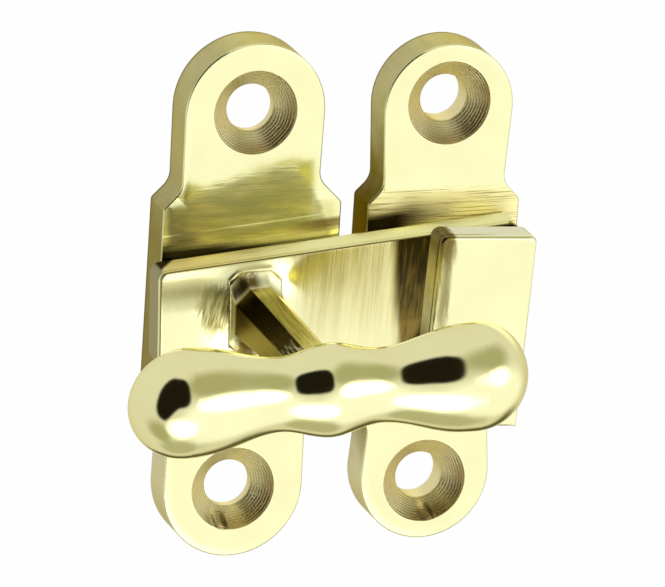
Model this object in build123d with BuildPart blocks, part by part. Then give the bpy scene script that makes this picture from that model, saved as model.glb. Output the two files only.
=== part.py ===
# Cast brass cupboard fastener: a knob-and-tongue turn on its own plate, and a keeper plate with a hook.
# Millimetres. +Z is up and the front faces -Y, as it hangs on a cupboard front.
# The origin is on the pivot axis, at the back of the plates.
from build123d import *
from math import acos, atan2, cos, degrees, radians, sin, sqrt
import os

os.makedirs("parts", exist_ok=True)

# Both plates
plate_thickness = 4.1
shoulder_hollow = 2.0
shoulder_corner = 0.6
plate_edge = 0.12

# Plate that carries the turn
turn_plate_height = 51.9
turn_lobe_width = 14.1
turn_waist_width = 13.9
turn_middle_width = 18.0
turn_middle_shift = 0.3
turn_middle_top = 9.7
turn_screw_inset = 6.9
back_rim = 2.2
back_recess = 1.4

# Plate that carries the hook
keeper_pitch = 19.65
keeper_height = 50.3
keeper_lobe_width = 13.1
keeper_waist_width = 12.3
keeper_middle_width = 15.5
keeper_middle_shift = 0.1
keeper_top_reach = 15.85
keeper_bottom_reach = 13.25
keeper_screw_inset = 5.9

# Countersunk screw holes, two in each plate
screw_hole = 4.7
countersink_width = 8.4
countersink_angle = 90.0

# Pivot: a spigot cast with the turn, peened over a washer in the back of the plate
spigot_width = 5.0
spigot_clearance = 0.05
washer_width = 9.4
washer_thickness = 0.5
washer_play = 0.05
peened_width = 7.2
peened_height = 0.65
peened_edge = 0.3

# Tongue and tail of the turn: one flat bar that widens towards its tip
rest_angle = 2.5
bar_clearance = 0.1
bar_thickness = 3.2
tail_reach = 9.7
tail_width = 9.8
tongue_reach = 26.8
tongue_width = 13.9
bar_corner = 1.0
bar_edge = 0.25

# Neck between the bar and the knob
neck_length = 21.4
neck_foot_height = 6.1
neck_head_height = 4.1
neck_foot_flare = 1.8
neck_head_flare = 1.2
neck_foot_width = 5.0
neck_head_width = 4.4
neck_foot_side_flare = 0.3
neck_head_side_flare = 0.8
neck_foot_corner = 1.5
neck_head_corner = 1.2
neck_root = 0.3
flare_room = 1.1  # what a flare takes on a tapered neck, as a share of its radius

# Knob: a round bar with three swellings, cut flat at the back
knob_lobe_width = 10.75
knob_lobe_place = 14.4
knob_flank_width = 9.45
knob_flank_place = 9.8
knob_waist_width = 7.5
knob_waist_place = 4.5
knob_middle_width = 9.3
knob_rim = 0.9
knob_crease = 0.6
knob_back_edge = 0.5
knob_drop = 0.35

# Hook on the keeper plate: a floor under the tongue and a lip in front of it
hook_width = 10.0
hook_centre = 22.0
hook_top = 7.75
hook_margin = 0.2
hook_lean = 2.6
lip_clearance = 0.2
lip_thickness = 2.9
floor_clearance = 0.2
hook_inside_radius = 0.3
lip_corner = 0.9
hook_edge = 0.5

# How closely a corner or edge must match a dimension to be picked by it
match = 0.01

# Heights of the screws and of the keeper's middle, set by the ends of the plates
turn_screw_spacing = turn_plate_height - 2 * turn_screw_inset
keeper_screw_spacing = keeper_height - 2 * keeper_screw_inset
keeper_middle_top = keeper_height / 2 - keeper_top_reach
keeper_middle_bottom = keeper_height / 2 - keeper_bottom_reach
hook_bottom = keeper_middle_bottom - hook_margin

# Depths in front of the back plane
bar_back = plate_thickness + bar_clearance
bar_front = bar_back + bar_thickness
knob_back = bar_front + neck_length
lip_back = bar_front + lip_clearance
lip_front = lip_back + lip_thickness
washer_front = back_recess - washer_play
washer_back = washer_front - washer_thickness

# The hook's floor lies just under the lower edge of the resting tongue
tongue_low = tongue_width / 2 * cos(radians(rest_angle)) - tongue_reach * sin(radians(rest_angle))
floor_top = tongue_low + floor_clearance + hook_width / 2 * sin(radians(hook_lean))

front = Plane.XZ
turn_front = front.rotated((0, -rest_angle, 0))
hook_foot = plate_thickness - plate_edge
knob_centre = turn_front.from_local_coords((0, -knob_drop, knob_back + knob_rim - knob_crease))
knob_axis = Plane(origin=knob_centre, x_dir=turn_front.x_dir, z_dir=turn_front.z_dir)
neck_side = Plane((0, 0, 0), x_dir=turn_front.z_dir, z_dir=-turn_front.x_dir)
neck_top = Plane((0, 0, 0), x_dir=turn_front.z_dir, z_dir=turn_front.y_dir)
neck_left_corner = Plane((0, 0, 0), x_dir=turn_front.z_dir, z_dir=turn_front.y_dir - turn_front.x_dir)
neck_right_corner = Plane((0, 0, 0), x_dir=turn_front.z_dir, z_dir=turn_front.y_dir + turn_front.x_dir)
neck_reach = neck_foot_height + neck_foot_flare
hook_upright = Plane(origin=(hook_centre, 0, 0), x_dir=front.x_dir, z_dir=front.z_dir)
hook_front = hook_upright.rotated((0, hook_lean, 0))
hook_side = Plane(origin=hook_front.origin, x_dir=hook_front.z_dir, z_dir=-hook_front.x_dir)


def waist_turn(lobe, waist, drop):
    """Degrees past a lobe's middle at which its round meets a straight waist that ends a drop away."""
    return degrees(atan2(drop, waist) - acos(lobe / sqrt(waist**2 + drop**2)))


def plate_outline(height, lobe_width, waist_width, middle_width, middle_shift, middle_top, middle_bottom):
    """Round lobes above and below a wider middle, joined by straight waists and hollow shoulders."""
    lobe = lobe_width / 2
    waist = waist_width / 2
    middle = middle_width / 2
    centre = height / 2 - lobe
    right = middle + middle_shift
    left = middle - middle_shift
    top_right = waist_turn(lobe, waist, centre - middle_top - right + waist)
    top_left = waist_turn(lobe, waist, centre - middle_top - left + waist)
    bottom_right = waist_turn(lobe, waist, centre - middle_bottom - right + waist)
    bottom_left = waist_turn(lobe, waist, centre - middle_bottom - left + waist)
    with BuildSketch() as outline:
        with BuildLine():
            upper = CenterArc((0, centre), lobe, -top_right, 180 + top_right + top_left)
            lower = CenterArc((0, -centre), lobe, 180 - bottom_left, 180 + bottom_left + bottom_right)
            Polyline(
                upper @ 0,
                (waist, middle_top + right - waist),
                (right, middle_top),
                (right, -middle_bottom),
                (waist, -middle_bottom - right + waist),
                lower @ 1,
            )
            Polyline(
                upper @ 1,
                (-waist, middle_top + left - waist),
                (-left, middle_top),
                (-left, -middle_bottom),
                (-waist, -middle_bottom - left + waist),
                lower @ 0,
            )
        make_face()
        waists = outline.vertices().filter_by(lambda v: abs(abs(v.X) - waist) < match)
        fillet(waists, shoulder_hollow)
        corners = outline.vertices().filter_by(lambda v: abs(abs(v.X - middle_shift) - middle) < match)
        fillet(corners, shoulder_corner)
    return outline.sketch


turn_plate_outline = plate_outline(
    turn_plate_height,
    turn_lobe_width,
    turn_waist_width,
    turn_middle_width,
    turn_middle_shift,
    turn_middle_top,
    turn_middle_top,
)
keeper_outline = plate_outline(
    keeper_height,
    keeper_lobe_width,
    keeper_waist_width,
    keeper_middle_width,
    keeper_middle_shift,
    keeper_middle_top,
    keeper_middle_bottom,
)

with BuildPart() as turn_plate:
    with BuildSketch(front):
        add(turn_plate_outline)
    extrude(amount=plate_thickness)
    chamfer(turn_plate.edges().group_by(Axis.Y)[0], plate_edge)
    # The back is hollow inside a rim, so the peened pivot clears the door
    with BuildSketch(front):
        add(turn_plate_outline)
        offset(amount=-back_rim)
    extrude(amount=back_recess, mode=Mode.SUBTRACT)
    with BuildSketch(front):
        Circle(spigot_width / 2 + spigot_clearance)
    extrude(amount=plate_thickness, mode=Mode.SUBTRACT)
    with Locations(front.offset(plate_thickness)):
        with GridLocations(0, turn_screw_spacing, 1, 2):
            CounterSinkHole(screw_hole / 2, countersink_width / 2, counter_sink_angle=countersink_angle)

# The hook seen from the side; its foot is sunk in the plate
with BuildPart() as hook:
    with BuildSketch(hook_side) as hook_profile:
        with BuildLine():
            Polyline(
                (hook_foot, -hook_bottom),
                (lip_front, -hook_bottom),
                (lip_front, hook_top),
                (lip_back, hook_top),
                (lip_back, -floor_top),
                (hook_foot, -floor_top),
                close=True,
            )
        make_face()
        fillet(hook_profile.vertices().sort_by_distance((lip_back, -floor_top))[0], hook_inside_radius)
    extrude(amount=hook_width / 2, both=True)
    # Corners of the lip as seen from the front, then the soft edge round its face
    fillet(hook.edges().filter_by(Axis.Y).filter_by_position(Axis.Y, -lip_front, -lip_back), lip_corner)
    fillet(hook.faces().sort_by(Axis.Y)[0].edges(), hook_edge)

with BuildPart() as keeper_plate:
    with BuildSketch(front):
        with Locations((keeper_pitch, 0)):
            add(keeper_outline)
    extrude(amount=plate_thickness)
    chamfer(keeper_plate.edges().group_by(Axis.Y)[0], plate_edge)
    with Locations(front.offset(plate_thickness)):
        with Locations((keeper_pitch, 0)):
            with GridLocations(0, keeper_screw_spacing, 1, 2):
                CounterSinkHole(screw_hole / 2, countersink_width / 2, counter_sink_angle=countersink_angle)
    add(hook.part)

# Knob alone; it joins the turn below
with BuildPart() as knob:
    with BuildSketch(knob_axis):
        with BuildLine():
            right_end = CenterArc((knob_lobe_place, 0), knob_lobe_width / 2, 0, 90)
            left_end = CenterArc((-knob_lobe_place, 0), knob_lobe_width / 2, 90, 90)
            Spline(
                left_end @ 0,
                (-knob_flank_place, knob_flank_width / 2),
                (-knob_waist_place, knob_waist_width / 2),
                (0, knob_middle_width / 2),
                (knob_waist_place, knob_waist_width / 2),
                (knob_flank_place, knob_flank_width / 2),
                right_end @ 1,
                tangents=[(1, 0), (1, 0)],
            )
            Line(left_end @ 1, right_end @ 0)
        make_face()
    revolve(axis=Axis(knob_axis.origin, knob_axis.x_dir))
    split(bisect_by=turn_front.offset(knob_back + knob_rim), keep=Keep.TOP)
    extrude(knob.faces().sort_by(Axis.Y)[-1], amount=knob_rim)
    chamfer(knob.faces().sort_by(Axis.Y)[-1].edges(), knob_back_edge)


def stem_outline(foot_width, head_width, foot_flare, head_flare):
    """A stem drawn from the bar's front to the knob's back, tapered and flared into both."""
    foot = foot_width / 2
    head = head_width / 2
    with BuildSketch() as outline:
        with BuildLine() as upper:
            Polyline(
                (bar_front - neck_root, 0),
                (bar_front - neck_root, foot + flare_room * foot_flare),
                (bar_front, foot + flare_room * foot_flare),
                (bar_front, foot),
                (knob_back, head),
                (knob_back, head + flare_room * head_flare),
                (knob_back + neck_root, head + flare_room * head_flare),
                (knob_back + neck_root, 0),
            )
            mirror(upper.line, about=Plane.XZ)
        make_face()
        fillet(outline.vertices().filter_by(lambda v: abs(abs(v.Y) - foot) < match), foot_flare)
        fillet(outline.vertices().filter_by(lambda v: abs(abs(v.Y) - head) < match), head_flare)
    return outline.sketch


def across_corners(height, width, corner):
    """Width of the neck from one filed-off long corner to the opposite one."""
    return (height + width) / sqrt(2) - sqrt(2) * corner


neck_side_outline = stem_outline(neck_foot_height, neck_head_height, neck_foot_flare, neck_head_flare)
neck_top_outline = stem_outline(neck_foot_width, neck_head_width, neck_foot_side_flare, neck_head_side_flare)
neck_corner_outline = stem_outline(
    across_corners(neck_foot_height, neck_foot_width, neck_foot_corner),
    across_corners(neck_head_height, neck_head_width, neck_head_corner),
    neck_foot_flare,
    neck_head_flare,
)

# Neck alone: flared above and below, flat at the sides, with its long corners filed off
with BuildPart() as neck:
    with BuildSketch(neck_side):
        add(neck_side_outline)
    extrude(amount=neck_reach, both=True)
    for plane, outline in (
        (neck_top, neck_top_outline),
        (neck_left_corner, neck_corner_outline),
        (neck_right_corner, neck_corner_outline),
    ):
        with BuildSketch(plane):
            add(outline)
        extrude(amount=neck_reach, both=True, mode=Mode.INTERSECT)

with BuildPart() as turn:
    with BuildSketch(turn_front.offset(bar_back)) as bar_outline:
        Polygon(
            (-tail_reach, -tail_width / 2),
            (tongue_reach, -tongue_width / 2),
            (tongue_reach, tongue_width / 2),
            (-tail_reach, tail_width / 2),
            align=None,
        )
        fillet(bar_outline.vertices(), bar_corner)
    extrude(amount=bar_thickness)
    chamfer(turn.edges().group_by(Axis.Y)[0] + turn.edges().group_by(Axis.Y)[-1], bar_edge)
    add(neck.part)
    add(knob.part)
    # Spigot through the plate, with its end peened over
    with BuildSketch(front.offset(washer_back)):
        Circle(spigot_width / 2)
    extrude(amount=bar_back - washer_back)
    with BuildSketch(front.offset(washer_back - peened_height)):
        Circle(peened_width / 2)
    extrude(amount=peened_height)
    chamfer(turn.edges().group_by(Axis.Y)[-1], peened_edge)

with BuildPart() as washer:
    with BuildSketch(front.offset(washer_back)):
        Circle(washer_width / 2)
        Circle(spigot_width / 2 + spigot_clearance, mode=Mode.SUBTRACT)
    extrude(amount=washer_thickness)

turn_plate.part.label = "turn_plate"
keeper_plate.part.label = "keeper_plate"
turn.part.label = "turn"
washer.part.label = "washer"

export_step(turn_plate.part, "parts/turn_plate.step")
export_step(keeper_plate.part, "parts/keeper_plate.step")
export_step(turn.part, "parts/turn.step")
export_step(washer.part, "parts/washer.step")
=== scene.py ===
import bpy
import math
from mathutils import Matrix, Vector


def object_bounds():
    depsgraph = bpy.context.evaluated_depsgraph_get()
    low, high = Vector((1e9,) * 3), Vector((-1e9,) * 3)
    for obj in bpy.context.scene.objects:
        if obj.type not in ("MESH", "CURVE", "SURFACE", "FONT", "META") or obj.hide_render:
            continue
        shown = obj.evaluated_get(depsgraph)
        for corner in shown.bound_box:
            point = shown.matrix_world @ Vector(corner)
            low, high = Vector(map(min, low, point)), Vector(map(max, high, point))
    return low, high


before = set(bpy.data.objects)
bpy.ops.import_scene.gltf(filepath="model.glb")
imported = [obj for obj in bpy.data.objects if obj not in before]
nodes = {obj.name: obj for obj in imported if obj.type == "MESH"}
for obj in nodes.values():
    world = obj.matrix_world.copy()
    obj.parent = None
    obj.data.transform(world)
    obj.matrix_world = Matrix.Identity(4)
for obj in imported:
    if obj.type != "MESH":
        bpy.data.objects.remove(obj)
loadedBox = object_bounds()
mm = 0.001
print("frame loaded")


class Wire:
    # an output socket: arithmetic on it adds Math nodes
    def __init__(self, graph, socket):
        self.graph = graph
        self.socket = socket

    def __add__(self, other):
        return self.graph.maths("ADD", self, other)

    def __radd__(self, other):
        return self.graph.maths("ADD", other, self)

    def __sub__(self, other):
        return self.graph.maths("SUBTRACT", self, other)

    def __rsub__(self, other):
        return self.graph.maths("SUBTRACT", other, self)

    def __mul__(self, other):
        return self.graph.maths("MULTIPLY", self, other)

    def __rmul__(self, other):
        return self.graph.maths("MULTIPLY", other, self)

    def __truediv__(self, other):
        return self.graph.maths("DIVIDE", self, other)

    def __rtruediv__(self, other):
        return self.graph.maths("DIVIDE", other, self)

    def __neg__(self):
        return self.graph.maths("MULTIPLY", self, -1)

    def __abs__(self):
        return self.graph.maths("ABSOLUTE", self)


class Graph:
    # the node tree of one material or of the world
    def __init__(self, owner):
        owner.use_nodes = True
        self.tree = owner.node_tree
        self.tree.nodes.clear()

    def add(self, kind, settings=None, inputs=None, output=0):
        node = self.tree.nodes.new(kind)
        for key, value in (settings or {}).items():
            setattr(node, key, value)
        for key, value in (inputs or {}).items():
            if isinstance(value, Wire):
                self.tree.links.new(value.socket, node.inputs[key])
            else:
                node.inputs[key].default_value = value
        return Wire(self, node.outputs[output]) if node.outputs else node

    def maths(self, operation, *values):
        return self.add("ShaderNodeMath", {"operation": operation}, dict(enumerate(values)))

    def least(self, a, b):
        return self.maths("MINIMUM", a, b)

    def most(self, a, b):
        return self.maths("MAXIMUM", a, b)

    def reach(self, a, b):
        return self.maths("SQRT", a * a + b * b)

    def soft(self, value, start, end):
        # 0 up to start and 1 past end, smooth between; start may be the larger
        return self.add("ShaderNodeMapRange", {"interpolation_type": "SMOOTHSTEP"},
                        {"Value": value, "From Min": start, "From Max": end, "To Min": 0, "To Max": 1})

    def mixColour(self, factor, a, b):
        inputs = {0: factor}
        for key, colour in ((6, a), (7, b)):
            inputs[key] = colour if isinstance(colour, Wire) else (*colour, 1)
        return self.add("ShaderNodeMix", {"data_type": "RGBA"}, inputs, 2)

    def split(self, vector):
        node = self.add("ShaderNodeSeparateXYZ", {}, {0: vector}).socket.node
        return [Wire(self, s) for s in node.outputs]

    def grain(self, place, size, degrees=0, detail=2):
        # noise from 0 to 1 whose features have the given size, turned about Y
        turned = self.add("ShaderNodeMapping", {"vector_type": "TEXTURE"},
                          {"Vector": place, "Rotation": (0, math.radians(degrees), 0), "Scale": size})
        return self.add("ShaderNodeTexNoise", {}, {"Vector": turned, "Scale": 1.0, "Detail": detail})


# Camera, in the frame's own terms: it looks down and from the left, a little rolled
camera = {
    "left": 19.81,        # degrees round from straight in front
    "above": 17.96,
    "roll": 3.66,
    "distance": 1000 * mm,
    "aim": Vector((9.713, -2.0, -0.309)) * mm,
    "focal": 10340,       # in pixels of a frame this wide
    "frameWidth": 665,
    "sensor": 36,
}


def placeCamera(c):
    a, e, r = (math.radians(c[k]) for k in ("left", "above", "roll"))
    back = Vector((-math.sin(a) * math.cos(e), -math.cos(a) * math.cos(e), math.sin(e)))
    across = Vector((math.cos(a), -math.sin(a), 0))
    up = back.cross(across)
    right = across * math.cos(r) + up * math.sin(r)
    up = back.cross(right)
    data = bpy.data.cameras.new("camera")
    data.sensor_width = c["sensor"]
    data.lens = c["focal"] * c["sensor"] / c["frameWidth"]
    data.clip_start = 0.05
    data.clip_end = 50
    made = bpy.data.objects.new("camera", data)
    place = Matrix((right, up, back)).transposed().to_4x4()
    place.translation = c["aim"] + back * c["distance"]
    made.matrix_world = place
    bpy.context.scene.collection.objects.link(made)
    bpy.context.scene.camera = made


placeCamera(camera)
bpy.context.scene.view_settings.view_transform = "Standard"
print("camera placed")

# The studio: a pale tent with cards and soft lamps, and a dark opening at the front.
# Directions are degrees round from the front, right positive, and degrees up.
studio = {
    "tent": (0.76, 0.755, 0.75),
    # each card and lamp: where round and up, half its width and height, softness, colour
    "cards": [
        (45, -25, 60, 42, 0.25, (1.04, 1.07, 1.15)),
        (42, 44, 46, 22, 0.5, (0.42, 0.42, 0.29)),
        (-72, -50, 26, 24, 0.5, (0.42, 0.42, 0.29)),
        (150, -44, 42, 11, 0.5, (0.14, 0.13, 0.08)),
    ],
    "under": {"colour": (0.42, 0.42, 0.29), "from": -62, "full": -76, "share": 0.8},
    "lamps": [
        (158, 17, 34, 13, 0.5, (1.25, 1.25, 1.2)),
        (40, 8, 24, 15, 0.4, (2.3, 2.3, 2.3)),
        (-12, -40, 32, 21, 0.4, (2.3, 2.3, 2.3)),
    ],
    "opening": {
        "colour": (0.012, 0.010, 0.006),
        "middle": -34,
        "half": 37,
        "top": 65,
        "sill": -25,          # on the left; it rises to the right
        "sillRise": 29,
        "riseFrom": (-52, -18),
        "squareness": 3.5,
        "fade": (1.06, 0.9),
    },
    "backdrop": (1, 1, 1),    # what the camera sees past the part
}


def makeStudio(s):
    world = bpy.data.worlds.new("studio")
    bpy.context.scene.world = world
    g = Graph(world)
    x, y, z = g.split(g.add("ShaderNodeTexCoord", {}, {}, "Generated"))
    bearing = g.maths("ARCTAN2", x, -y) * (180 / math.pi)
    high = g.maths("ARCSINE", z) * (180 / math.pi)

    def hang(colour, spots):
        for middleRound, middleHigh, halfRound, halfHigh, softness, light in spots:
            u = (bearing - middleRound) / halfRound
            v = (high - middleHigh) / halfHigh
            colour = g.mixColour(g.soft(g.reach(u, v), 1 + softness, 1 - softness), colour, light)
        return colour

    def shut(colour, o):
        sill = o["sill"] + o["sillRise"] * g.soft(bearing, *o["riseFrom"])
        u = abs((bearing - o["middle"]) / o["half"])
        v = abs((high - (sill + o["top"]) / 2) / ((o["top"] - sill) / 2))
        k = o["squareness"]
        boxed = g.maths("POWER", g.maths("POWER", u, k) + g.maths("POWER", v, k), 1 / k)
        return g.mixColour(g.soft(boxed, *o["fade"]), colour, o["colour"])

    under = s["under"]
    colour = hang(s["tent"], s["cards"])
    colour = g.mixColour(g.soft(high, under["from"], under["full"]) * under["share"], colour, under["colour"])
    colour = hang(colour, s["lamps"])
    colour = shut(colour, s["opening"])
    seen = g.add("ShaderNodeLightPath", {}, {}, "Is Camera Ray")
    colour = g.mixColour(seen, colour, s["backdrop"])
    background = g.add("ShaderNodeBackground", {}, {"Color": colour, "Strength": 1.0})
    g.add("ShaderNodeOutputWorld", {}, {"Surface": background})


makeStudio(studio)
print("studio lit")

# The fastener hangs clear of a pale floor, which looks as white as the backdrop
floor = {"drop": 150 * mm, "half": 3.0, "colour": (0.9, 0.9, 0.88), "glow": 0.98}


def makeFloor(f):
    low = loadedBox[0].z - f["drop"]
    h = f["half"]
    mesh = bpy.data.meshes.new("floor")
    mesh.from_pydata([(-h, -h, low), (h, -h, low), (h, h, low), (-h, h, low)], [], [(0, 1, 2, 3)])
    made = bpy.data.objects.new("floor", mesh)
    bpy.context.scene.collection.objects.link(made)
    paint = bpy.data.materials.new("floor_paint")
    g = Graph(paint)
    diffuse = g.add("ShaderNodeBsdfDiffuse", {}, {"Color": (*f["colour"], 1)})
    glow = g.add("ShaderNodeEmission", {}, {"Color": (1, 1, 1, 1), "Strength": 1.0})
    seen = g.add("ShaderNodeLightPath", {}, {}, "Is Camera Ray")
    shader = g.add("ShaderNodeMixShader", {}, {0: seen * f["glow"], 1: diffuse, 2: glow})
    g.add("ShaderNodeOutputMaterial", {}, {"Surface": shader})
    mesh.materials.append(paint)
    made.visible_glossy = False


makeFloor(floor)
print("floor laid")

# Brass. Places and sizes in the materials are millimetres, in the object's own frame.
brass = {
    "pale": (0.96, 0.93, 0.50),
    "deep": (0.94, 0.87, 0.43),
    "gold": (0.80, 0.71, 0.30),
    "khaki": (0.50, 0.49, 0.22),
    "side": (0.66, 0.62, 0.34),       # filed edges
    # dark brown for dull filing and for painted shade on shaded edges
    "dullShade": (0.12, 0.08, 0.02),
    "bronze": (0.34, 0.21, 0.03),
    "cast": (0.50, 0.40, 0.20),       # rough backs
    "brown": (0.16, 0.10, 0.012),     # tarnish where no polish reaches, and painted shade in corners and on shaded faces
    # near-black painted shade in the darkest corners and creases
    "shadeBlack": (0.012, 0.007, 0.001),
    "polish": 0.07,                   # roughness of the polished faces
    "cloudSize": 4,                   # clouds of deeper colour and less polish
    "cloudPolish": 0.03,
    "waveSize": 3,
    "waveDepth": 0.02,
    "hairSize": (0.5, 0.3, 0.06),
    "hairDepth": 0.0006,
    "rounding": 0.12,                 # edges worn by polishing
}

# The bar's outline, which the painted shade on the plates behind it follows too
bar = {
    "lean": 2.5,              # degrees that it rises to the right
    "tail": 9.7,              # reach to the left of the pivot
    "tailHalf": 4.9,          # half its width there
    "widening": 2.05 / 36.5,
    "back": 4.2,
    "bevelBack": 7.15,
    "front": 7.4,
}


class Brass(Graph):
    # one brass material: masks choose its colour, roughness and height
    def __init__(self, name, edgeShine=(1, 1, 1)):
        self.edgeShine = edgeShine    # tint of what it mirrors along its surface
        self.paint = bpy.data.materials.new(name)
        super().__init__(self.paint)
        metres = self.add("ShaderNodeTexCoord", {}, {}, "Object")
        self.place = self.add("ShaderNodeVectorMath", {"operation": "SCALE"}, {0: metres, "Scale": 1 / mm})
        self.x, y, self.z = self.split(self.place)
        self.out = -y                 # in front of the backs
        facing = self.add("ShaderNodeTexCoord", {}, {}, "Normal")
        self.rightward, self.rearward, self.upward = self.split(facing)
        flat = abs(self.rearward)
        self.front = self.soft(-self.rearward, 0.6, 0.9)
        self.edge = self.soft(flat, 0.6, 0.3)
        self.bevel = self.soft(flat, 0.95, 0.85) * self.soft(flat, 0.45, 0.55)
        self.behind = self.soft(self.rearward, 0.3, 0.8)
        slope = math.radians(bar["lean"])
        self.along = self.x * math.cos(slope) + self.z * math.sin(slope)
        self.across = self.z * math.cos(slope) - self.x * math.sin(slope)
        cloud = self.soft(self.grain(self.place, [brass["cloudSize"]] * 3, 0, 3), 0.35, 0.75)
        self.colour = self.mixColour(cloud * 0.5, brass["pale"], brass["deep"])
        self.rough = brass["polish"] + brass["cloudPolish"] * cloud
        wave = self.grain(self.place, [brass["waveSize"]] * 3, 0, 1)
        hair = self.grain(self.place, brass["hairSize"], 30, 2)
        self.height = wave * brass["waveDepth"] + hair * brass["hairDepth"]

    def lay(self, mask, colour=None, rough=None, height=None):
        # change the surface where the mask is 1
        if colour:
            self.colour = self.mixColour(mask, self.colour, colour)
        if rough is not None:
            self.rough = self.rough + (rough - self.rough) * mask
        if height is not None:
            self.height = self.height + height * mask

    def leanSides(self, back, front, slope):
        # the sides lean in towards the front; no mask, whose ends would show as lines
        self.height = self.height + self.most(self.least(self.out - front, 0), back - front) * -slope

    def finish(self, rounding=brass["rounding"]):
        edgeReflection = self.add("ShaderNodeBevel", {"samples": 6}, {"Radius": rounding * mm})
        bump = self.add("ShaderNodeBump", {}, {
            "Strength": 1.0, "Distance": mm, "Height": self.height, "Normal": edgeReflection})
        shader = self.add("ShaderNodeBsdfPrincipled", {}, {
            "Base Color": self.colour, "Metallic": 1.0, "Roughness": self.rough, "Normal": bump,
            "Specular Tint": (*self.edgeShine, 1)})
        self.add("ShaderNodeOutputMaterial", {}, {"Surface": shader})
        return self.paint


def barHalf(m):
    return bar["tailHalf"] + (m.along + bar["tail"]) * bar["widening"]


def barMargin(m):
    # how far a place on a plate lies outside the outline of the bar in front of it
    return abs(m.across) - barHalf(m)


# The two back plates, polished in front and left rough at the back
turnPlate = {
    "name": "turn_plate_polish",
    "centre": 0.0,
    "lobe": 7.05,
    "lobeHigh": 18.9,
    "middle": 9.0,
    "shift": 0.3,
    "middleHigh": 10.5,
    "screwHigh": 19.05,
    "middleShade": 0.5,          # painted shade on the edges beside the middle
    "middleShadeHigh": (15, 6),
    "lump": (-1.1, -22.4),    # left by the cutter in the lower countersink
    "brushHigh": 12.9,        # top of the brushed middle, whose khaki is partly a painted reflection of the knob, rising to the right
    "brushRise": 0.33,
    "brushCrest": 13.6,       # then it bends down
    "brushBend": 1.9,
    "bendFrom": 3.4,
    "satin": 0.34,            # roughness to the right of it
    "stepMargin": 2.33,       # a step in the polish runs this far above the bar
    "stepHalf": 0.15,
    "stepDepth": 0.01,
    # painted near-black shade below this height
    "shadeHigh": (6.5, 5.3),
}
keeperPlate = {
    "name": "keeper_plate_polish",
    "centre": 19.65,
    "lobe": 6.55,
    "lobeHigh": 18.6,
    "middle": 7.75,
    "shift": 0.1,
    "middleHigh": 11.0,
    "screwHigh": 19.25,
    # painted shade on the edges beside the middle
    "middleShade": 0.95,
    "middleShadeHigh": (19, 9),
    "lump": (0.6, -22.9),
    "brushHigh": 10.0,
    "band": (1.0, 0.90, 0.42),
    "bandHigh": (11, 10),
    "bandRough": 0.38,
    "scratch": (0.52, 0.40, 0.14),
    "scratchDepth": 0.03,
}
plates = {
    "edgeShine": (0.62, 0.52, 0.22),
    "onFace": (4.5, 4.3),     # the plates' own front, not the hook
    "rollWidth": 1.0,         # how far in the polished faces fall away to their edges
    "rollDepth": 0.07,
    "brushWander": 1.8,
    "brushRough": 0.2,
    "brushDepth": 0.008,
    "fileDepth": 0.02,
    "backCorner": 0.5,
    "lowEdge": (1.0, 0.97, 0.70),
    "lowEdgeFrom": (-12, -16),
    "castRough": 0.5,
    "castDepth": 0.06,
}
countersink = {
    "tan": (1.0, 0.92, 0.56),
    "radius": 4.2,
    "rough": 0.34,
    "ringGap": 0.21,
    "ringDepth": 0.012,
    "pitSize": 0.25,
    "pitDepth": 0.02,
    "bronzeFrom": (2.5, 3.9),         # towards the rim, below and to the right
    "lumpHalf": (0.9, 1.3),
    "lumpLean": 0.3,
    "lumpHeight": 0.4,
    "stainRadius": (1.5, 0.6),
}


def rollFace(m, p, x, high):
    # the polished face falls away a little to its edge
    lobe = p["lobe"] - m.reach(x, m.most(high - p["lobeHigh"], 0))
    middle = m.least(p["middle"] - abs(x - p["shift"]), p["middleHigh"] - high)
    fall = m.most(1 - m.most(lobe, middle) / plates["rollWidth"], 0)
    m.lay(m.front, height=fall * fall * -plates["rollDepth"])


def brushMiddleWithKnobReflection(m, within):
    # brushed across, with khaki patches that are partly a painted reflection of the knob; within says how far
    # inside the brushed part a place lies
    lines = m.grain(m.place, (7, 1, 0.13), 0, 3)
    ragged = m.grain(m.place, (2.5, 2.5, 0.3), 0, 3) - 0.5
    patchy = m.soft(m.grain(m.place, (5, 5, 1.2), 0, 3), 0.35, 0.65)
    brushed = m.soft(within + ragged * plates["brushWander"], -0.4, 0.9)
    brushed = brushed * m.front * m.soft(m.out, *plates["onFace"])
    colour = m.mixColour(patchy * 0.7, brass["khaki"], brass["gold"])
    m.lay(brushed, colour, plates["brushRough"], lines * plates["brushDepth"])


def fileEdges(m, p, high):
    # filed; darker towards the back and beside the middle, both painted shade
    strokes = m.grain(m.place, (1, 3, 0.15), 0, 3)
    blotch = m.grain(m.place, (2, 2, 3), 0, 2)
    m.lay(m.edge, brass["side"], 0.3 + 0.12 * blotch, strokes * plates["fileDepth"])
    m.lay(m.edge * m.soft(strokes + blotch, 0.9, 1.3) * 0.4, brass["khaki"])
    m.lay(m.edge * m.soft(m.out, plates["backCorner"], 0) * 0.7, brass["brown"], 0.5)
    m.lay(m.edge * m.soft(m.z, *plates["lowEdgeFrom"]) * 0.8, plates["lowEdge"])
    m.lay(m.edge * m.soft(high + (blotch - 0.5) * 6, *p["middleShadeHigh"]) * p["middleShade"], brass["dullShade"])


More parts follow.
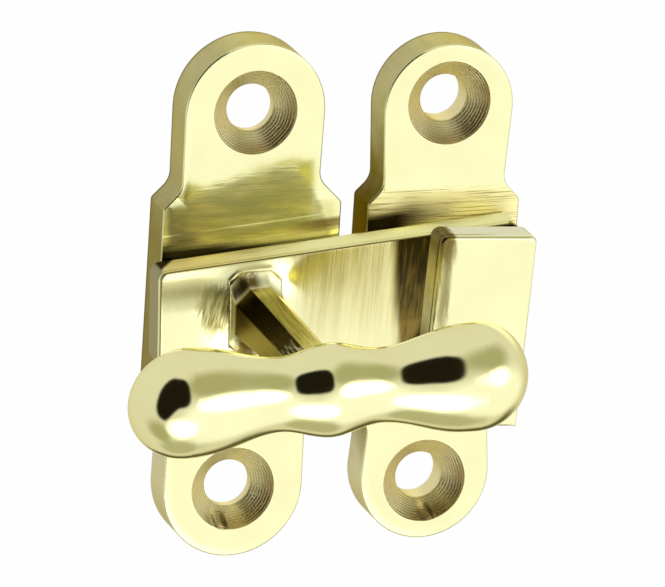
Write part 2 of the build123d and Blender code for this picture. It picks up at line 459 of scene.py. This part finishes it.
def cutCountersinks(m, p, x, high, c):
    # as the cutter left them: rings, pits, and a lump in the lower one
    r = m.reach(x, high - p["screwHigh"])
    sink = m.soft(r, c["radius"] + 0.06, c["radius"] - 0.02) * (1 - m.behind)
    chatter = m.grain(m.place, (1.5, 1.5, 1.5), 0, 2)
    ring = m.maths("SINE", (r + chatter * 0.2) * (2 * math.pi / c["ringGap"]))
    pits = m.soft(m.grain(m.place, [c["pitSize"]] * 3, 0, 2), 0.62, 0.72)
    cut = ring * chatter * c["ringDepth"] - pits * c["pitDepth"]
    m.lay(sink, c["tan"], c["rough"] + 0.1 * chatter, cut)
    m.lay(sink * m.soft(ring * chatter, 0.1, 0.5) * 0.35, brass["brown"])
    lowRight = m.soft(x - m.z + p["screwHigh"] * m.maths("SIGN", m.z), -0.5, 4)
    m.lay(sink * m.soft(r, *c["bronzeFrom"]) * lowRight * 0.7, brass["bronze"], 0.3)

    right = x - p["lump"][0]
    up = m.z - p["lump"][1]
    halfRight, halfUp = c["lumpHalf"]
    lump = m.soft(m.reach((right + up * c["lumpLean"]) / halfRight, up / halfUp), 1.0, 0.2)
    m.lay(sink * lump, height=c["lumpHeight"])
    darkPatch = m.soft(m.reach(right, up), *c["stainRadius"]) * m.soft(chatter + pits, 0.45, 0.7)
    m.lay(sink * darkPatch * 0.6, brass["bronze"])


def platePaint(p, brushedWithin):
    m = Brass(p["name"], plates["edgeShine"])
    x = m.x - p["centre"]
    high = abs(m.z)
    rollFace(m, p, x, high)
    brushMiddleWithKnobReflection(m, brushedWithin(m, x, high))
    fileEdges(m, p, high)
    cutCountersinks(m, p, x, high, countersink)
    rough = m.grain(m.place, (0.5, 0.5, 0.5), 0, 3)
    m.lay(m.behind, brass["cast"], plates["castRough"], rough * plates["castDepth"])
    return m


def turnPlatePaint(p):
    def brushedWithin(m, x, high):
        bend = m.most(x - p["bendFrom"], 0) / p["brushBend"]
        return m.least(p["brushHigh"] + p["brushRise"] * x, p["brushCrest"] - bend * bend) - high

    m = platePaint(p, brushedWithin)
    top = m.front * m.soft(m.z, 0, 2)
    margin = barMargin(m)
    m.lay(top * m.soft(m.x, 5.5, 7) * m.soft(m.z, 6, 8) * m.soft(m.z, 16, 12), rough=p["satin"])
    # a step in the polish runs above the bar, and the band under it is darker: painted shade, in khaki
    # streaks, brown to the right and near-black lower down
    step = p["stepMargin"]
    m.lay(top, height=m.soft(margin, step + 0.12, step - 0.18) * -p["stepDepth"])
    m.lay(top * m.soft(abs(margin - step), p["stepHalf"], 0) * 0.5, brass["pale"])
    streak = m.grain(m.place, (6, 2, 0.3), -5.7, 3)
    m.lay(top * m.soft(margin, 2.2, 1.2) * m.soft(streak, 0.45, 0.62) * 0.6, brass["khaki"])
    right = m.soft(margin, 2.1, 1.6) * m.soft(m.x, 3, 7.5) * m.soft(margin, 0.3, 1.2)
    m.lay(top * right * 0.8, brass["brown"])
    m.lay(top * m.soft(m.z + (streak - 0.5), *p["shadeHigh"]) * 0.97, brass["shadeBlack"], 0.3)
    return m.finish()


# The hook, which is cast with the keeper plate
hook = {
    "centre": 22.0,
    "half": 5.0,
    "lean": 2.6,              # degrees that its sides lean to the right
    "from": (4.4, 4.8),
    "sideBack": 7.6,
    "sideFront": 10.0,
    "sideSlope": 0.8,
    "mouthTop": (1.5, 6),     # its side in the mouth is brown up here, painted shade
    "top": (1.0, 0.98, 0.66),
    "edgeReflectionWidth": (1.9, 0.9),  # a band beside the mouth on the front, painted as the reflection of a rounded edge
    "edgeReflectionDepth": 0.06,
}


def paintHookShadeAndReflection(m, h):
    on = m.soft(m.out, *h["from"])
    lean = math.radians(-h["lean"])
    side = (m.x - h["centre"]) * math.cos(lean) + m.z * math.sin(lean) + h["half"]
    m.leanSides(h["sideBack"], h["sideFront"], h["sideSlope"])
    # painted shade on the mouth's side near the top
    mouth = m.soft(m.rightward, -0.3, -0.8) * m.soft(m.z, *h["mouthTop"])
    m.lay(on * m.edge * mouth * 0.85, brass["brown"], 0.25)
    m.lay(on * m.soft(m.upward, 0.3, 0.8), h["top"], 0.16)
    flecks = m.grain(m.place, (0.4, 1, 2), 0, 3)
    loose = flecks - 0.5
    # painted reflection of a rounded edge beside the mouth, browner higher up, with a brown line in it
    edgeReflection = on * m.soft(side + loose * 1.2, *h["edgeReflectionWidth"]) * m.soft(m.z, -5, 0)
    m.lay(edgeReflection * 0.85, m.mixColour(flecks, brass["khaki"], brass["gold"]), 0.24, flecks * h["edgeReflectionDepth"])
    m.lay(edgeReflection * m.soft(m.z + loose * 4, 3, 7) * 0.8, brass["brown"])
    m.lay(on * m.soft(abs(side - 1.0 + loose * 0.8), 0.7, 0.1) * m.soft(m.z, -4, 1) * 0.6, brass["brown"])


def keeperPlatePaint(p, h):
    def brushedWithin(m, x, high):
        return p["brushHigh"] - high

    m = platePaint(p, brushedWithin)
    top = m.front * m.soft(m.z, 0, 2) * m.soft(m.out, *plates["onFace"])
    band = top * m.soft(m.z, *p["bandHigh"])
    m.lay(band * 0.85, p["band"], p["bandRough"])
    scratch = m.soft(m.grain(m.place, (9, 2, 0.12), -1, 2), 0.52, 0.64)
    m.lay(band * scratch * 0.8, p["scratch"], 0.35, scratch * -p["scratchDepth"])
    # painted shade: brown and then black into the corner behind the bar
    margin = barMargin(m) + (m.grain(m.place, (4, 4, 0.5), 0, 2) - 0.5) * 0.5
    m.lay(top * m.soft(margin, 2.6, 0.9) * m.soft(m.x, 19.5, 15.0) * 0.85, brass["brown"], 0.35)
    m.lay(top * m.soft(margin, 1.7, 0.9) * m.soft(m.x, 17.5, 14.8) * 0.98, brass["shadeBlack"], 0.3)
    paintHookShadeAndReflection(m, h)
    return m.finish()


# The turn: bar, neck and knob in one casting
turn = {
    "name": "turn_polish",
    "edgeShine": (0.85, 0.80, 0.55),
    "rounding": 0.35,
    "knobBack": 28.8,
}
barWear = {
    "rootWidth": 3.2,         # the face is drawn up to the neck
    "rootDepth": 1.7,
    "rollWidth": 3.4,         # and falls away at its upper edge
    "rollDepth": 0.45,
    "brushed": (0.74, 0.62, 0.27),
    "brushFrom": (4.0, 6.0),
    "brushRough": 0.2,
    "brushDepth": 0.014,
    "dishFrom": 14.2,         # it rises again to the hook's mouth
    "dishSlope": 0.3,
    # painted shade beside the mouth begins here
    "mouthShadeFrom": (13.5, 14.8),
    "reflectionSpot": (-3.9, 0.6),    # middle of the painted dark reflection beside the neck, along and across
    "reflectionSpotHalf": (2.2, 3.0),
    "reflectionSpotDepth": 0.05,
    "reflectionSmearAcross": 1.9,
    "satin": 0.32,
    "sideSlope": 0.65,
    "top": (1.0, 0.97, 0.44),
    "topTail": (0.80, 0.67, 0.22),
    "topRough": 0.14,
}
neckWear = {
    "flare": 1.8,             # depth of the foot
    "flareSlope": 0.4,
    "footTop": (9.2, 8.4),
    "root": (1.0, 0.98, 0.62),
    "rootRough": 0.42,
    "strokeDepth": 0.02,
}


def shapeBar(m, face, w):
    # the face is drawn up softly to the neck and falls away at its upper edge
    around = (m.along * m.along + m.across * m.across) / (w["rootWidth"] * w["rootWidth"])
    m.lay(face, height=m.maths("EXPONENT", -around) * w["rootDepth"])
    roll = m.most(1 - (barHalf(m) - m.across) / w["rollWidth"], 0)
    m.lay(face, height=roll * roll * -w["rollDepth"] * m.soft(m.along, 8, 2))


def brushBar(m, face, w):
    # brushed up and down on the right; dished beside the mouth and darkened there with painted shade
    lines = m.grain(m.place, (0.12, 1, 6), bar["lean"], 3)
    bands = m.grain(m.place, (1.2, 4, 14), bar["lean"], 2)
    bow = m.across * m.across * 0.05
    brushed = m.soft(m.along + bow + (bands - 0.5) * 2, *w["brushFrom"]) * face
    shade = m.soft(m.across, -5, 3)
    m.lay(brushed, rough=w["brushRough"], height=lines * w["brushDepth"])
    m.lay(brushed * (0.55 + 0.45 * m.soft(bands, 0.3, 0.7)) * (0.3 + 0.7 * shade), w["brushed"])
    m.lay(brushed * m.soft(lines + bands, 0.95, 1.25) * shade * 0.5, brass["khaki"])
    rise = m.maths("SMOOTH_MAX", m.along - w["dishFrom"], 0, 0.8)
    m.lay(face, height=rise * m.soft(m.across, -6, -2) * w["dishSlope"])
    # painted shade beside the hook's mouth, near-black with brown streaks
    darkPatch = m.along + (bands - 0.5) * 0.8 + m.most(-m.across, 0) * -0.08
    deep = m.soft(darkPatch, *w["mouthShadeFrom"]) * face * m.soft(m.across, -10, -5)
    streaks = m.grain(m.place, (0.3, 1, 3), bar["lean"], 3)
    brownShare = m.soft(streaks + m.soft(m.across, 3, -6) * 0.3, 0.45, 0.75)
    m.lay(deep * 0.97, m.mixColour(brownShare * 0.55, brass["shadeBlack"], brass["brown"]), 0.2)


def paintReflectionByNeck(m, face, w):
    # a painted dark reflection on the face beside the neck, which is left dull there
    halfAlong, halfAcross = w["reflectionSpotHalf"]
    reflectionSpot = m.reach((m.along - w["reflectionSpot"][0]) / halfAlong, (m.across - w["reflectionSpot"][1]) / halfAcross)
    ragged = m.grain(m.place, (0.3, 1, 2.5), 12, 3)
    reflectionPatch = m.soft(reflectionSpot + (ragged - 0.5) * 1.2, 1.0, 0.6) * face
    m.lay(reflectionPatch * 0.9, brass["khaki"], 0.28, ragged * w["reflectionSpotDepth"])
    m.lay(reflectionPatch * m.soft(ragged, 0.35, 0.6) * 0.8, brass["brown"])
    reflectionSmear = m.soft(abs(m.across - w["reflectionSmearAcross"] + (ragged - 0.5)), 1.5, 0.3) * m.soft(m.along, -3.2, -4.5)
    m.lay(reflectionSmear * face * 0.35, brass["khaki"], 0.2, ragged * 0.02)
    upper = m.soft(m.across, 0, 1.2) * m.soft(m.across, 4.4, 3.4)
    m.lay(face * m.soft(m.along, -2, -3.5) * upper, rough=w["satin"])


def edgeBar(m, onBar, w):
    # top face gold, going darker towards the tail and near-black in the back corner, both painted shade; thin
    # dull bevel; tail filed and darker, partly painted shade
    streaks = m.grain(m.place, (8, 0.25, 0.25), bar["lean"], 3)
    sides = onBar * m.edge
    m.lay(sides, brass["deep"], 0.16, streaks * 0.02)
    topFace = onBar * m.soft(m.upward, 0.4, 0.65)
    m.lay(topFace, w["top"], w["topRough"])
    m.lay(topFace * m.soft(m.along, 8, -6) * 0.85, w["topTail"])
    m.leanSides(bar["back"], bar["bevelBack"], w["sideSlope"])
    # near-black painted shade in the crease at the back of the top
    backCreaseShade = m.soft((bar["front"] - m.out) - (m.along + bar["tail"]) * 1.2, -0.2, 0.5)
    m.lay(topFace * backCreaseShade * 0.97, brass["shadeBlack"], 0.3)
    bevel = m.bevel * m.soft(m.out, bar["bevelBack"] + 0.12, bar["bevelBack"] + 0.18)
    m.lay(onBar * bevel * 0.9, brass["brown"])
    tailEnd = sides * m.soft(-m.rightward, 0.4, 0.8)
    m.lay(tailEnd, brass["side"], 0.35)
    m.lay(tailEnd * 0.45, brass["dullShade"])


def fileNeck(m, onNeck, w):
    # filed; darker on its left and underneath, painted shade; bright where it leaves the bar, a painted
    # reflection, with a painted shadow beside the foot
    strokes = m.grain(m.place, (0.3, 4, 0.3), 0, 3)
    loose = strokes - 0.5
    m.lay(onNeck, brass["gold"], 0.22, strokes * w["strokeDepth"])
    left = onNeck * m.soft(-m.rightward + loose * 0.5, 0.0, 0.4)
    m.lay(left * 0.97, brass["brown"], 0.26)
    m.lay(left * m.soft(m.out, 8.6, 11) * (0.3 + 0.5 * m.soft(m.upward, 0.1, 0.6)), brass["shadeBlack"])
    scrapes = m.soft(m.grain(m.place, (0.12, 2.5, 0.12), 0, 2) + m.soft(m.out, 18, 26) * 0.2, 0.68, 0.76)
    m.lay(left * m.soft(m.out, 17, 24) * scrapes * 0.5, brass["pale"], 0.3)
    m.lay(left * m.soft(m.upward, 0.2, -0.3) * 0.6, brass["shadeBlack"], 0.35)
    foot = onNeck * m.soft(m.out, *w["footTop"])
    m.lay(foot * m.soft(m.along, -1.8, -0.6), w["root"], w["rootRough"])
    m.lay(foot * m.soft(m.along, -1.0, -1.8) * 0.95, brass["pale"], 0.3)
    shadow = m.soft(m.along + loose * 1.2, -2.7, -1.5) * m.soft(m.along, 0.6, -0.4)
    m.lay(foot * shadow * m.soft(m.across + loose * 2, 5.0, 3.4) * 0.95, brass["brown"], 0.35)


def turnPaint(t):
    m = Brass(t["name"], t["edgeShine"])
    onBar = m.soft(m.out, bar["front"] + 0.15, bar["front"] + 0.02)
    onKnob = m.soft(m.out, t["knobBack"] - 0.05, t["knobBack"] + 0.05)
    face = onBar * m.front
    shapeBar(m, face, barWear)
    brushBar(m, face, barWear)
    paintReflectionByNeck(m, face, barWear)
    edgeBar(m, onBar, barWear)
    fileNeck(m, (1 - onBar) * (1 - onKnob), neckWear)
    # the neck's foot flattens out towards the bar
    rise = m.least(m.most(m.out - bar["front"], 0), neckWear["flare"])
    m.lay(1 - onKnob, height=rise * -neckWear["flareSlope"])
    m.lay(onKnob * m.behind, brass["khaki"], 0.3, m.grain(m.place, (3, 1, 0.15), 10, 3) * 0.02)
    return m.finish(t["rounding"])


washer = {"name": "washer_finish", "rough": 0.3, "strokeDepth": 0.01}


def washerPaint(w):
    m = Brass(w["name"])
    strokes = m.grain(m.place, (4, 1, 0.2), 0, 2)
    m.lay(m.soft(m.out, 0, 0.1), brass["cast"], w["rough"], strokes * w["strokeDepth"])
    return m.finish()


nodes["turn"].data.materials[0] = turnPaint(turn)
nodes["turn_plate"].data.materials[0] = turnPlatePaint(turnPlate)
nodes["keeper_plate"].data.materials[0] = keeperPlatePaint(keeperPlate, hook)
nodes["washer"].data.materials[0] = washerPaint(washer)
print("brass finished")
